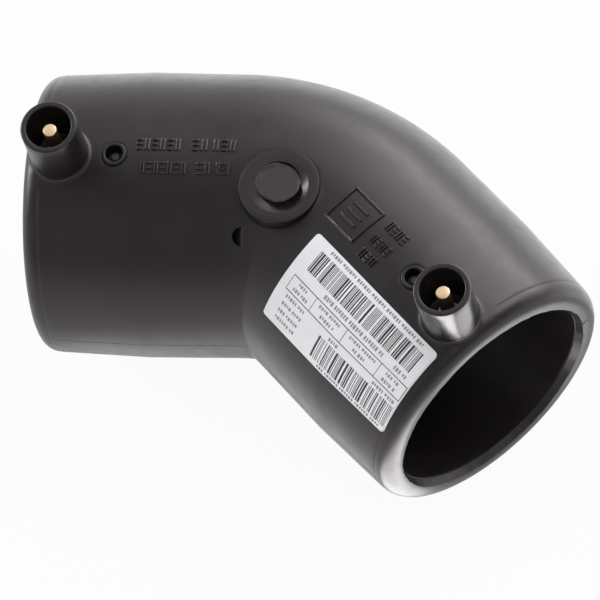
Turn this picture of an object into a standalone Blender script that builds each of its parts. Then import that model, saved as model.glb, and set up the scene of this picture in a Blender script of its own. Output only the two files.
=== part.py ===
"""Electrofusion elbow for polyethylene pipe: 45 degrees, two sockets with winding, terminals and indicators.

The elbow lies on its side, with the plane of the bend level and both terminals pointing up.
A place on the body is given by its distance from a mouth, measured along the centre line, and by its turn
about that line: 0 at the crown, positive towards the outside of the bend.
"""
import math

import bmesh
import bpy
from mathutils import Matrix, Vector

# The pipe, and the way through.
BEND_ANGLE = math.radians(45)
BEND_RADIUS = 0.051
PIPE_DIAMETER = 0.0630
PIPE_CLEARANCE = 0.0005
INSERTION_DEPTH = 0.0550
STOP_LAND = 0.0009
STOP_WIDTH = 0.00425
MOUTH_CHAMFER_WIDTH = 0.0009
MOUTH_CHAMFER_DEPTH = 0.0022

# The outside of the moulding, by its wall over the bore at the mouth, where it swells most, and at the bend.
END_WALL = 0.0074
SWELL_WALL = 0.0085
BEND_WALL = 0.00825
SWELL_TO_FACE = 0.0300
EDGE_RADIUS = 0.0044

# Terminals: a shroud on the crown of each socket, with a contact pin inside.
TERMINAL_TO_FACE = 0.0105
SHROUD_DIAMETER = 0.0159
SHROUD_HEIGHT = 0.0176
SHROUD_RIM_RADIUS = 0.0005
SHROUD_FOOT_RADIUS = 0.0013
SHROUD_SINK = 0.0034
SHROUD_BORE = 0.0126
SHROUD_FLOOR_BORE = 0.0119
SHROUD_FLOOR_HEIGHT = 0.0012
PIN_DIAMETER = 0.0040
PIN_TIP_CHAMFER = 0.0003
PIN_BELOW_RIM = 0.0020
PIN_COLLAR_DIAMETER = 0.0064
PIN_COLLAR_HEIGHT = 0.0011
PIN_ROOT_DIAMETER = 0.0032
PIN_ROOT_RING_DIAMETER = 0.0037
PIN_ROOT_RING_HEIGHT = 0.0007
PIN_ROOT_BARE_END = 0.0012

# Heating wire: one length, wound in each socket and led through the wall of the bend.
WIRE_DIAMETER = 0.0022
WINDING_TURNS = 7
WINDING_PITCH = 0.0034
WINDING_POINTS = 20
WIRE_BEND_RADIUS = 0.0021
WIRE_BEND_POINTS = 4
WIRE_LEAD_LENGTH = 0.0010

# Fusion indicators: a small pin in a ringed well over each winding.
WELL_TO_FACE = 0.0260
WELL_RING_DIAMETER = 0.0070
WELL_RING_HEIGHT = 0.0005
WELL_RING_CHAMFER = 0.0003
WELL_DIAMETER = 0.0050
WELL_FLOOR = 0.0018
INDICATOR_DIAMETER = 0.0024
INDICATOR_COLLAR_DIAMETER = 0.0040
INDICATOR_COLLAR_HEIGHT = 0.0006
INDICATOR_TIP_HEIGHT = 0.0014

# Injection gate: a low disc on the crown of the bend, dished round the cut sprue.
GATE_OFFSET = 0.0055
GATE_DIAMETER = 0.0226
GATE_HEIGHT = 0.0003
GATE_DISH_DIAMETER = 0.0166
GATE_DISH_FLOOR_DIAMETER = 0.0122
GATE_DISH_DEPTH = 0.0024
SPRUE_DIAMETER = 0.0136
SPRUE_TOP_DIAMETER = 0.0130
SPRUE_BELOW_DISC = 0.0003
SPRUE_TILT = math.radians(7)
SPRUE_OFFSET = 0.0010

# A short half-round nick in the skin beside the gate, on the left half.
NICK_FROM_MIDDLE = 0.0079
NICK_TURN = math.radians(-32)
NICK_WIDTH = 0.0059
NICK_LENGTH = 0.0039
NICK_DEPTH = 0.0013

# Data label on the right socket, on the inside of the bend, between the shroud and the bend.
LABEL_TO_FACE = 0.0044
LABEL_TO_BEND = 0.0007
LABEL_TO_SHROUD = 0.0020
LABEL_WIDTH = 0.0302
LABEL_CORNER = 0.0012
LABEL_THICKNESS = 0.0002

# Room left between pieces that seat on or in each other.
SEAT_GAP = 0.0003

# Fineness of the curved faces.
SKIN_SIDES = 60
BORE_SIDES = 44
BEND_RINGS = 6
EDGE_RINGS = 5
SHROUD_SIDES = 28
SMALL_SIDES = 16
GATE_SIDES = 32
RIM_STEPS = 3
FOOT_STEPS = 4
WIRE_WAY_BEVEL = 3
LABEL_COLUMNS = 9
LABEL_CORNER_STEPS = 3

# Overrun of a cutter past the face that it opens, and the distance at which corners join.
CUT_MARGIN = 0.0030
MERGE = 0.00001

# The two halves, by the sign of X.
SIDES = ((-1, "left"), (1, "right"))

# Values that follow from the sizes above.
HALF_BEND = BEND_ANGLE / 2
TANGENT = BEND_RADIUS * math.tan(HALF_BEND)
SOCKET_LENGTH = INSERTION_DEPTH + STOP_LAND
CENTRE_TO_FACE = SOCKET_LENGTH + TANGENT
MIDDLE_TO_FACE = SOCKET_LENGTH + BEND_RADIUS * HALF_BEND
BORE_RADIUS = (PIPE_DIAMETER + PIPE_CLEARANCE) / 2
WATERWAY_RADIUS = BORE_RADIUS - STOP_WIDTH
END_RADIUS = BORE_RADIUS + END_WALL
SWELL_RADIUS = BORE_RADIUS + SWELL_WALL
CROWN_RADIUS = BORE_RADIUS + BEND_WALL
WIRE_RADIUS = WIRE_DIAMETER / 2
WINDING_RADIUS = BORE_RADIUS + WIRE_RADIUS
RECESS_RADIUS = BORE_RADIUS + WIRE_DIAMETER + SEAT_GAP
WINDING_LENGTH = (WINDING_TURNS + 0.5) * WINDING_PITCH
WINDING_END = TERMINAL_TO_FACE + WINDING_LENGTH
RECESS_START = TERMINAL_TO_FACE - WIRE_RADIUS - SEAT_GAP
RECESS_END = WINDING_END + WIRE_BEND_RADIUS + SEAT_GAP
ROOT_HOLE_RADIUS = PIN_ROOT_RING_DIAMETER / 2 + SEAT_GAP
INDICATOR_HOLE_RADIUS = INDICATOR_DIAMETER / 2 + SEAT_GAP
WELL_BOTTOM = RECESS_RADIUS + WELL_FLOOR
LABEL_END = SOCKET_LENGTH - LABEL_TO_BEND


def mix(a, b, share):
    return a + (b - a) * share


def skin_radius(to_face):
    """Outer radius of the moulding at a distance from the mouth's face."""
    if to_face < EDGE_RADIUS:
        rise = math.sqrt(EDGE_RADIUS ** 2 - (EDGE_RADIUS - to_face) ** 2)
        return END_RADIUS - EDGE_RADIUS + rise
    if to_face < SWELL_TO_FACE:
        share = (to_face - EDGE_RADIUS) / (SWELL_TO_FACE - EDGE_RADIUS)
        return mix(END_RADIUS, SWELL_RADIUS, share)
    if to_face < SOCKET_LENGTH:
        share = (to_face - SWELL_TO_FACE) / (SOCKET_LENGTH - SWELL_TO_FACE)
        return mix(SWELL_RADIUS, CROWN_RADIUS, share)
    return CROWN_RADIUS


def section(to_face):
    """Centre, outward direction and outer and inner half widths of the skin's section on the right half."""
    radius = skin_radius(to_face)
    if to_face <= SOCKET_LENGTH:
        along = Vector((math.cos(HALF_BEND), -math.sin(HALF_BEND), 0))
        outward = Vector((math.sin(HALF_BEND), math.cos(HALF_BEND), 0))
        return along * (CENTRE_TO_FACE - to_face), outward, radius, radius
    turn = HALF_BEND - (to_face - SOCKET_LENGTH) / BEND_RADIUS
    outward = Vector((math.sin(turn), math.cos(turn), 0))
    centre = outward * BEND_RADIUS - Vector((0, BEND_RADIUS / math.cos(HALF_BEND), 0))
    inner = BEND_RADIUS - (BEND_RADIUS - radius) / math.cos(HALF_BEND - abs(turn))
    return centre, outward, radius, inner


def skin_point(to_face, turn, lift=0.0):
    """A point on the right half of the skin, lifted off it along the section's plane."""
    centre, outward, outer, inner = section(to_face)
    width = outer if math.sin(turn) >= 0 else inner
    side = outward * math.sin(turn) * (width + lift)
    return centre + side + Vector((0, 0, math.cos(turn) * (skin_radius(to_face) + lift)))


def socket_matrix(side):
    """Frame of a socket: origin at the mouth's face, +Z out of the mouth, +X up. side is 1 right, -1 left."""
    along = Vector((side * math.cos(HALF_BEND), -math.sin(HALF_BEND), 0))
    up = Vector((0, 0, 1))
    across = along.cross(up)
    rotation = Matrix((up, across, along)).transposed().to_4x4()
    return Matrix.Translation(along * CENTRE_TO_FACE) @ rotation


def crown_matrix(side, to_face):
    """Frame of a boss on a socket's crown: origin on the centre line, +Z up, +X out of the mouth."""
    along = Vector((side * math.cos(HALF_BEND), -math.sin(HALF_BEND), 0))
    rotation = Matrix.Rotation(math.atan2(along.y, along.x), 4, "Z")
    return Matrix.Translation(along * (CENTRE_TO_FACE - to_face)) @ rotation


def clear_scene():
    for item in list(bpy.data.objects):
        bpy.data.objects.remove(item, do_unlink=True)


def make_material(name, colour, roughness, metallic=0.0):
    material = bpy.data.materials.new(name)
    material.use_nodes = True
    shader = material.node_tree.nodes["Principled BSDF"]
    shader.inputs["Base Color"].default_value = (*colour, 1.0)
    shader.inputs["Roughness"].default_value = roughness
    shader.inputs["Metallic"].default_value = metallic
    material.diffuse_color = (*colour, 1.0)
    return material


def make_collection(name, holder):
    collection = bpy.data.collections.new(name)
    holder.children.link(collection)
    return collection


def add_object(name, data, collection, parent, matrix=None):
    item = bpy.data.objects.new(name, data)
    collection.objects.link(item)
    item.parent = parent
    item.matrix_local = matrix or Matrix.Identity(4)
    return item


def add_tool(name, data, group, parent, matrix=None):
    """A shape that only adds to the body or cuts it."""
    item = add_object(name, data, group, parent, matrix)
    item.hide_render = True
    item.display_type = "WIRE"
    return item


def smooth(item, angle=math.radians(30)):
    item.data.shade_smooth()
    item.data.set_sharp_from_angle(angle=angle)


def profile_mesh(name, points):
    mesh = bpy.data.meshes.new(name)
    edges = [(index, index + 1) for index in range(len(points) - 1)]
    mesh.from_pydata([(radius, 0, height) for radius, height in points], edges, [])
    return mesh


def turn_profile(item, sides):
    """Turns a profile, listed from the top down its outer side, about its own Z axis."""
    screw = item.modifiers.new("turned", "SCREW")
    screw.axis = "Z"
    screw.angle = math.tau
    screw.steps = sides
    screw.render_steps = sides
    screw.use_merge_vertices = True
    screw.merge_threshold = MERGE
    screw.use_smooth_shade = True
    return item


def arc_points(centre, radius, first, last, steps):
    """Points on an arc in a profile's plane, angles in degrees from the outward direction."""
    points = []
    for step in range(steps + 1):
        angle = math.radians(mix(first, last, step / steps))
        points.append((centre[0] + radius * math.cos(angle), centre[1] + radius * math.sin(angle)))
    return points


def cutter_mouth(width, height, deep_width, deep_height):
    """Top of a cutter whose sloping side carries on past the face that it opens."""
    spread = (width - deep_width) / (height - deep_height)
    top = height + CUT_MARGIN
    return [(0.0, top), (width + spread * CUT_MARGIN, top)]


def join_group(target, group, operation):
    """Adds or cuts away all the shapes of a group in one step, then joins the corners that come out double."""
    boolean = target.modifiers.new(f"{operation.lower()} {group.name}", "BOOLEAN")
    boolean.operation = operation
    boolean.solver = "EXACT"
    boolean.operand_type = "COLLECTION"
    boolean.collection = group
    weld = target.modifiers.new(f"corners of {group.name}", "WELD")
    weld.merge_threshold = MERGE


def ring_stations():
    """Distances from the mouth's face at which the skin has a ring, from the bend's middle outwards."""
    stations = [mix(MIDDLE_TO_FACE, SOCKET_LENGTH, step / (BEND_RINGS - 1)) for step in range(BEND_RINGS)]
    stations.append(SWELL_TO_FACE)
    for step in range(EDGE_RINGS + 1):
        angle = math.pi / 2 * step / EDGE_RINGS
        stations.append(EDGE_RADIUS * (1 - math.sin(angle)))
    return stations


def skin_mesh():
    """Right half of the outer skin: rings from the middle of the bend to the mouth, closed at the mouth."""
    form = bmesh.new()
    rings = []
    for to_face in ring_stations():
        turns = [math.tau * step / SKIN_SIDES for step in range(SKIN_SIDES)]
        rings.append([form.verts.new(skin_point(to_face, turn)) for turn in turns])
    for ring, following in zip(rings, rings[1:]):
        for step in range(SKIN_SIDES):
            after = (step + 1) % SKIN_SIDES
            form.faces.new((ring[step], following[step], following[after], ring[after]))
    form.faces.new(rings[-1])
    for vertex in rings[0]:
        vertex.co.x = 0.0
    bmesh.ops.recalc_face_normals(form, faces=form.faces)
    if form.faces[0].normal.dot(form.faces[0].calc_center_median() - section(SOCKET_LENGTH)[0]) < 0:
        bmesh.ops.reverse_faces(form, faces=form.faces)
    mesh = bpy.data.meshes.new("elbow_body")
    form.to_mesh(mesh)
    form.free()
    return mesh


def tube_curve(name, points, radius, bevel_resolution):
    """A tube with filled caps along straight steps between points."""
    curve = bpy.data.curves.new(name, "CURVE")
    curve.dimensions = "3D"
    curve.bevel_depth = radius
    curve.bevel_resolution = bevel_resolution
    curve.use_fill_caps = True
    spline = curve.splines.new("POLY")
    spline.points.add(len(points) - 1)
    for place, point in zip(spline.points, points):
        place.co = (*point, 1.0)
    return curve


def tube_tool(name, points, radius, bevel_resolution, group, parent):
    """A tube as a welded mesh, which can cut another piece."""
    item = add_object(name, tube_curve(name, points, radius, bevel_resolution), group, parent)
    bpy.context.view_layer.update()
    evaluated = item.evaluated_get(bpy.context.evaluated_depsgraph_get())
    mesh = bpy.data.meshes.new_from_object(evaluated)
    form = bmesh.new()
    form.from_mesh(mesh)
    bmesh.ops.remove_doubles(form, verts=form.verts, dist=MERGE)
    bmesh.ops.recalc_face_normals(form, faces=form.faces)
    form.to_mesh(mesh)
    form.free()
    world = item.matrix_world.copy()
    bpy.data.objects.remove(item, do_unlink=True)
    tool = add_tool(name, mesh, group, parent)
    tool.matrix_world = world


def centre_line(reach, drop=0.0, steps=10):
    """Points along the centre line of the bend, on into each socket by reach, lowered by drop."""
    along = Vector((math.cos(HALF_BEND), -math.sin(HALF_BEND), 0))
    back = Vector((-along.x, along.y, 0))
    points = [back * (TANGENT + reach)]
    for step in range(steps + 1):
        turn = mix(-HALF_BEND, HALF_BEND, step / steps)
        height = BEND_RADIUS * math.cos(turn) - BEND_RADIUS / math.cos(HALF_BEND)
        points.append(Vector((BEND_RADIUS * math.sin(turn), height, 0)))
    points.append(along * (TANGENT + reach))
    return [point - Vector((0, 0, drop)) for point in points]


def add_socket_bores(cuts, parent):
    """Bores for the pipe ends, each with its lead-in chamfer and the recess for the winding."""
    mouth = BORE_RADIUS + MOUTH_CHAMFER_WIDTH
    profile = [
        *cutter_mouth(mouth, 0.0, BORE_RADIUS, -MOUTH_CHAMFER_DEPTH),
        (BORE_RADIUS, -MOUTH_CHAMFER_DEPTH),
        (BORE_RADIUS, -RECESS_START),
        (RECESS_RADIUS, -RECESS_START),
        (RECESS_RADIUS, -RECESS_END),
        (BORE_RADIUS, -RECESS_END),
        (BORE_RADIUS, -INSERTION_DEPTH),
        (0.0, -INSERTION_DEPTH),
    ]
    mesh = profile_mesh("socket_bore", profile)
    for side, word in SIDES:
        turn_profile(add_tool(f"socket_bore_{word}", mesh, cuts, parent, socket_matrix(side)), BORE_SIDES)


def add_waterway(cuts, parent):
    """The narrower way through the bend, which leaves a shoulder for the pipe ends to stop on."""
    points = centre_line(STOP_LAND + CUT_MARGIN)
    tube_tool("waterway", points, WATERWAY_RADIUS, BORE_SIDES // 2 - 2, cuts, parent)


def add_wire_way(cuts, parent):
    """Groove and tunnel under the centre line that lead the wire from one winding to the other."""
    reach = SOCKET_LENGTH - RECESS_END + SEAT_GAP
    points = centre_line(reach, drop=WINDING_RADIUS)
    tube_tool("wire_way", points, WIRE_RADIUS + SEAT_GAP, WIRE_WAY_BEVEL, cuts, parent)


def shroud_profile():
    crown = skin_radius(TERMINAL_TO_FACE)
    outer = SHROUD_DIAMETER / 2
    rim = crown + SHROUD_HEIGHT
    foot = (outer + SHROUD_FOOT_RADIUS, crown + SHROUD_FOOT_RADIUS)
    profile = [(0.0, rim)]
    profile += arc_points((outer - SHROUD_RIM_RADIUS, rim - SHROUD_RIM_RADIUS), SHROUD_RIM_RADIUS, 90, 0, RIM_STEPS)
    profile += arc_points(foot, SHROUD_FOOT_RADIUS, 180, 255, FOOT_STEPS)
    profile.append((profile[-1][0], crown - SHROUD_SINK))
    profile.append((0.0, crown - SHROUD_SINK))
    return profile


def add_shrouds(bosses, parent):
    mesh = profile_mesh("shroud", shroud_profile())
    for side, word in SIDES:
        tool = add_tool(f"shroud_{word}", mesh, bosses, parent, crown_matrix(side, TERMINAL_TO_FACE))
        turn_profile(tool, SHROUD_SIDES)


def add_shroud_bores(cuts, parent):
    """The space round each contact pin, and the hole that its root passes down to the winding."""
    crown = skin_radius(TERMINAL_TO_FACE)
    rim = crown + SHROUD_HEIGHT
    floor = crown + SHROUD_FLOOR_HEIGHT
    profile = [
        *cutter_mouth(SHROUD_BORE / 2, rim, SHROUD_FLOOR_BORE / 2, floor),
        (SHROUD_FLOOR_BORE / 2, floor),
        (ROOT_HOLE_RADIUS, floor),
        (ROOT_HOLE_RADIUS, WINDING_RADIUS),
        (0.0, WINDING_RADIUS),
    ]
    mesh = profile_mesh("shroud_bore", profile)
    for side, word in SIDES:
        tool = add_tool(f"shroud_bore_{word}", mesh, cuts, parent, crown_matrix(side, TERMINAL_TO_FACE))
        turn_profile(tool, SHROUD_SIDES)


def add_wells(bosses, cuts, parent):
    """A raised ring round each indicator's well, and the well with its hole down to the winding."""
    crown = skin_radius(WELL_TO_FACE)
    top = crown + WELL_RING_HEIGHT
    outer = WELL_RING_DIAMETER / 2
    ring = [
        (0.0, top),
        (outer - WELL_RING_CHAMFER, top),
        (outer, top - WELL_RING_CHAMFER),
        (outer, crown - WELL_RING_DIAMETER / 4),
        (0.0, crown - WELL_RING_DIAMETER / 4),
    ]
    well = [
        (0.0, top + CUT_MARGIN),
        (WELL_DIAMETER / 2, top + CUT_MARGIN),
        (WELL_DIAMETER / 2, WELL_BOTTOM),
        (INDICATOR_HOLE_RADIUS, WELL_BOTTOM),
        (INDICATOR_HOLE_RADIUS, WINDING_RADIUS),
        (0.0, WINDING_RADIUS),
    ]
    for kind, points, group in (("well_ring", ring, bosses), ("well", well, cuts)):
        mesh = profile_mesh(kind, points)
        for side, word in SIDES:
            tool = add_tool(f"{kind}_{word}", mesh, group, parent, crown_matrix(side, WELL_TO_FACE))
            turn_profile(tool, SMALL_SIDES)


def gate_matrix():
    """Frame of the gate, at its distance from the centre line towards the inside of the bend."""
    middle = section(MIDDLE_TO_FACE)[0]
    return Matrix.Translation(middle - Vector((0, GATE_OFFSET, 0)))


def add_gate_disc(bosses, cuts, parent):
    top = CROWN_RADIUS + GATE_HEIGHT
    disc = [
        (0.0, top),
        (GATE_DIAMETER / 2, top),
        (GATE_DIAMETER / 2, CROWN_RADIUS - GATE_DIAMETER / 4),
        (0.0, CROWN_RADIUS - GATE_DIAMETER / 4),
    ]
    dish = [
        *cutter_mouth(GATE_DISH_DIAMETER / 2, top, GATE_DISH_FLOOR_DIAMETER / 2, top - GATE_DISH_DEPTH),
        (GATE_DISH_FLOOR_DIAMETER / 2, top - GATE_DISH_DEPTH),
        (0.0, top - GATE_DISH_DEPTH),
    ]
    for kind, points, group in (("gate_disc", disc, bosses), ("gate_dish", dish, cuts)):
        turn_profile(add_tool(kind, profile_mesh(kind, points), group, parent, gate_matrix()), GATE_SIDES)


def add_sprue(stubs, parent):
    """The sprue's stub, cut off a little askew just below the disc."""
    top = -SPRUE_BELOW_DISC
    bottom = -GATE_DISH_DEPTH - CUT_MARGIN / 2
    stub = [
        (0.0, top),
        (SPRUE_TOP_DIAMETER / 2, top),
        (SPRUE_DIAMETER / 2, bottom),
        (0.0, bottom),
    ]
    seat = Matrix.Translation(Vector((-SPRUE_OFFSET, SPRUE_OFFSET, CROWN_RADIUS + GATE_HEIGHT)))
    matrix = gate_matrix() @ seat @ Matrix.Rotation(SPRUE_TILT, 4, Vector((-1, 1, 0)))
    turn_profile(add_tool("sprue", profile_mesh("sprue", stub), stubs, parent, matrix), GATE_SIDES)


def add_nick(cuts, parent):
    """A shallow half-round cut on the left half: a straight wall at its deep end, running out to the left."""
    to_left = Matrix.Scale(-1, 4, Vector((1, 0, 0)))
    to_face = MIDDLE_TO_FACE - NICK_FROM_MIDDLE
    place = to_left @ skin_point(to_face, NICK_TURN)
    normal = (place - to_left @ section(to_face)[0]).normalized()
    along = Vector((-math.cos(HALF_BEND), -math.sin(HALF_BEND), 0))
    along = (along - normal * along.dot(normal)).normalized()
    frame = Matrix((along, normal.cross(along), normal)).transposed().to_4x4()
    half = NICK_WIDTH / 2
    radius = (half ** 2 + NICK_DEPTH ** 2) / (2 * NICK_DEPTH)
    form = bmesh.new()
    bmesh.ops.create_uvsphere(form, u_segments=GATE_SIDES, v_segments=SMALL_SIDES, radius=radius)
    split = bmesh.ops.bisect_plane(
        form,
        geom=form.verts[:] + form.edges[:] + form.faces[:],
        dist=MERGE,
        plane_co=(0, 0, 0),
        plane_no=(-1, 0, 0),
        clear_outer=True,
    )
    wall = [item for item in split["geom_cut"] if isinstance(item, bmesh.types.BMEdge)]
    bmesh.ops.edgenet_fill(form, edges=wall)
    bmesh.ops.scale(form, vec=(NICK_LENGTH / half, 1, 1), verts=form.verts)
    bmesh.ops.recalc_face_normals(form, faces=form.faces)
    mesh = bpy.data.meshes.new("nick")
    form.to_mesh(mesh)
    form.free()
    lift = Matrix.Translation(normal * (radius - NICK_DEPTH))
    add_tool("nick", mesh, cuts, parent, lift @ Matrix.Translation(place) @ frame)


def add_body(parts, tools, parent, material):
    body = add_object("elbow_body", skin_mesh(), parts, parent)
    body.data.materials.append(material)
    smooth(body)
    mirror = body.modifiers.new("left half", "MIRROR")
    mirror.use_axis = (True, False, False)
    mirror.use_clip = True
    mirror.merge_threshold = MERGE
    bosses = make_collection("bosses", tools)
    cuts = make_collection("cuts", tools)
    stubs = make_collection("stubs", tools)
    add_shrouds(bosses, parent)
    add_gate_disc(bosses, cuts, parent)
    add_wells(bosses, cuts, parent)
    add_socket_bores(cuts, parent)
    add_waterway(cuts, parent)
    add_wire_way(cuts, parent)
    add_shroud_bores(cuts, parent)
    add_nick(cuts, parent)
    add_sprue(stubs, parent)
    join_group(body, bosses, "UNION")
    join_group(body, cuts, "DIFFERENCE")
    join_group(body, stubs, "UNION")


def pin_profile():
    crown = skin_radius(TERMINAL_TO_FACE)
    tip = crown + SHROUD_HEIGHT - PIN_BELOW_RIM
    seat = crown + SHROUD_FLOOR_HEIGHT + SEAT_GAP
    end = wire_top() + SEAT_GAP
    shank = PIN_DIAMETER / 2
    root = PIN_ROOT_DIAMETER / 2
    ring = PIN_ROOT_RING_DIAMETER / 2
    first_ring = end + PIN_ROOT_BARE_END
    profile = [
        (0.0, tip),
        (shank - PIN_TIP_CHAMFER, tip),
        (shank, tip - PIN_TIP_CHAMFER),
        (shank, seat + PIN_COLLAR_HEIGHT),
        (PIN_COLLAR_DIAMETER / 2, seat + PIN_COLLAR_HEIGHT),
        (PIN_COLLAR_DIAMETER / 2, seat),
        (ring, seat),
        (ring, seat - PIN_ROOT_RING_HEIGHT),
        (root, seat - PIN_ROOT_RING_HEIGHT),
        (root, first_ring + PIN_ROOT_RING_HEIGHT),
        (ring, first_ring + PIN_ROOT_RING_HEIGHT),
        (ring, first_ring),
        (root, first_ring),
        (root, end),
        (0.0, end),
    ]
    return profile


def add_pins(parts, parent, material):
    mesh = profile_mesh("terminal_pin", pin_profile())
    mesh.materials.append(material)
    for side, word in SIDES:
        pin = add_object(f"terminal_pin_{word}", mesh, parts, parent, crown_matrix(side, TERMINAL_TO_FACE))
        turn_profile(pin, SMALL_SIDES)


def add_indicators(parts, parent, material):
    seat = WELL_BOTTOM + SEAT_GAP
    tip = seat + INDICATOR_COLLAR_HEIGHT + INDICATOR_TIP_HEIGHT
    shank = INDICATOR_DIAMETER / 2
    profile = [
        (0.0, tip),
        (shank, tip),
        (shank, seat + INDICATOR_COLLAR_HEIGHT),
        (INDICATOR_COLLAR_DIAMETER / 2, seat + INDICATOR_COLLAR_HEIGHT),
        (INDICATOR_COLLAR_DIAMETER / 2, seat),
        (shank, seat),
        (shank, RECESS_RADIUS + SEAT_GAP),
        (0.0, RECESS_RADIUS + SEAT_GAP),
    ]
    mesh = profile_mesh("fusion_indicator", profile)
    mesh.materials.append(material)
    for side, word in SIDES:
        pin = add_object(f"fusion_indicator_{word}", mesh, parts, parent, crown_matrix(side, WELL_TO_FACE))
        turn_profile(pin, SMALL_SIDES)


def wire_top():
    return WINDING_RADIUS + WIRE_BEND_RADIUS + WIRE_LEAD_LENGTH


def right_wire_points():
    """The wire from under the right terminal, round its winding and into the wire way."""
    points = [(0.0, TERMINAL_TO_FACE, wire_top())]
    for step in range(WIRE_BEND_POINTS + 1):
        angle = math.pi / 2 * step / WIRE_BEND_POINTS
        across = WIRE_BEND_RADIUS * (1 - math.cos(angle))
        height = WINDING_RADIUS + WIRE_BEND_RADIUS * (1 - math.sin(angle))
        points.append((across / height, TERMINAL_TO_FACE, math.hypot(across, height)))
    start = points[-1][0]
    finish = (WINDING_TURNS + 0.5) * math.tau - WIRE_BEND_RADIUS / WINDING_RADIUS
    steps = round((WINDING_TURNS + 0.5) * WINDING_POINTS)
    for step in range(1, steps + 1):
        share = step / steps
        points.append((mix(start, finish, share), TERMINAL_TO_FACE + WINDING_LENGTH * share, WINDING_RADIUS))
    for step in range(1, WIRE_BEND_POINTS + 1):
        angle = math.pi / 2 * step / WIRE_BEND_POINTS
        turn = finish + WIRE_BEND_RADIUS * math.sin(angle) / WINDING_RADIUS
        points.append((turn, WINDING_END + WIRE_BEND_RADIUS * (1 - math.cos(angle)), WINDING_RADIUS))
    frame = crown_matrix(1, 0.0)
    return [
        frame @ Vector((-to_face, radius * math.sin(turn), radius * math.cos(turn)))
        for turn, to_face, radius in points
    ]


def add_wire(parts, parent, material):
    """One length of wire: left lead and winding, the link round the bend, right winding and lead."""
    right = right_wire_points()
    left = [Vector((-point.x, point.y, point.z)) for point in right]
    link = centre_line(0.0, drop=WINDING_RADIUS)
    curve = tube_curve("heating_wire", left + link[1:-1] + right[::-1], WIRE_RADIUS, 2)
    curve.materials.append(material)
    add_object("heating_wire", curve, parts, parent)


def label_mesh():
    """A rectangle with round corners laid on the skin, three rows long by many columns round."""
    mean = skin_radius((LABEL_TO_FACE + LABEL_END) / 2)
    half = LABEL_WIDTH / 2
    top_turn = -math.asin((SHROUD_DIAMETER / 2 + LABEL_TO_SHROUD) / mean)
    middle_turn = top_turn - half / mean
    columns = []
    for step in range(LABEL_CORNER_STEPS):
        angle = math.pi / 2 * step / LABEL_CORNER_STEPS
        columns.append((-half + LABEL_CORNER * (1 - math.cos(angle)), LABEL_CORNER * (1 - math.sin(angle))))
    inner = half - LABEL_CORNER
    columns += [(mix(-inner, inner, step / (LABEL_COLUMNS - 1)), 0.0) for step in range(LABEL_COLUMNS)]
    columns += [(-across, inset) for across, inset in reversed(columns[:LABEL_CORNER_STEPS])]
    form = bmesh.new()
    lines = []
    for across, inset in columns:
        turn = middle_turn + across / mean
        rows = (LABEL_TO_FACE + inset, SWELL_TO_FACE, LABEL_END - inset)
        lines.append([form.verts.new(skin_point(to_face, turn, SEAT_GAP)) for to_face in rows])
    for line, following in zip(lines, lines[1:]):
        for near, far, next_far, next_near in zip(line, line[1:], following[1:], following):
            form.faces.new((near, far, next_far, next_near))
    bmesh.ops.recalc_face_normals(form, faces=form.faces)
    outward = skin_point(LABEL_TO_FACE, middle_turn) - section(LABEL_TO_FACE)[0]
    if form.faces[0].normal.dot(outward) < 0:
        bmesh.ops.reverse_faces(form, faces=form.faces)
    mesh = bpy.data.meshes.new("data_label")
    form.to_mesh(mesh)
    form.free()
    return mesh


def add_label(parts, parent, material):
    label = add_object("data_label", label_mesh(), parts, parent)
    label.data.materials.append(material)
    solidify = label.modifiers.new("thickness", "SOLIDIFY")
    solidify.thickness = LABEL_THICKNESS
    solidify.offset = 1.0


def frame_origin():
    """Where the centre lines cross, seen from the middle of the box's underside."""
    reach = math.sin(HALF_BEND) * (CENTRE_TO_FACE - EDGE_RADIUS)
    spread = math.cos(HALF_BEND) * (END_RADIUS - EDGE_RADIUS)
    front = -reach - spread - EDGE_RADIUS
    back = BEND_RADIUS - BEND_RADIUS / math.cos(HALF_BEND) + CROWN_RADIUS
    return Vector((0, -(front + back) / 2, SWELL_RADIUS))


def main():
    clear_scene()
    parts = make_collection("electrofusion_elbow", bpy.context.scene.collection)
    tools = make_collection("tools", bpy.context.scene.collection)
    frame = bpy.data.objects.new("elbow_frame", None)
    parts.objects.link(frame)
    frame.location = frame_origin()
    bpy.context.view_layer.update()
    black = make_material("black_polyethylene", (0.022, 0.020, 0.020), 0.42)
    grey = make_material("indicator_polyethylene", (0.06, 0.06, 0.06), 0.5)
    brass = make_material("brass", (0.80, 0.60, 0.33), 0.25, 1.0)
    sheath = make_material("wire_sheath", (0.025, 0.023, 0.023), 0.4)
    paper = make_material("label_film", (0.78, 0.78, 0.82), 0.45)
    add_body(parts, tools, frame, black)
    add_wire(parts, frame, sheath)
    add_pins(parts, frame, brass)
    add_indicators(parts, frame, grey)
    add_label(parts, frame, paper)


main()
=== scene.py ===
"""Looks of a 45 degree electrofusion elbow: moulded body, pins, indicators, winding and data label.

Lengths are metres. A place on the body has a distance from a mouth along the centre line, and a turn about
that line: 0 at the crown, positive towards the outside of the bend. A side is 1 for right and -1 for left.
"""
from math import asin, atan2, ceil, copysign, cos, degrees, hypot, pi, radians, sin, sqrt, tan, tau

import bmesh
import bpy
from mathutils import Matrix, Vector


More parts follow.
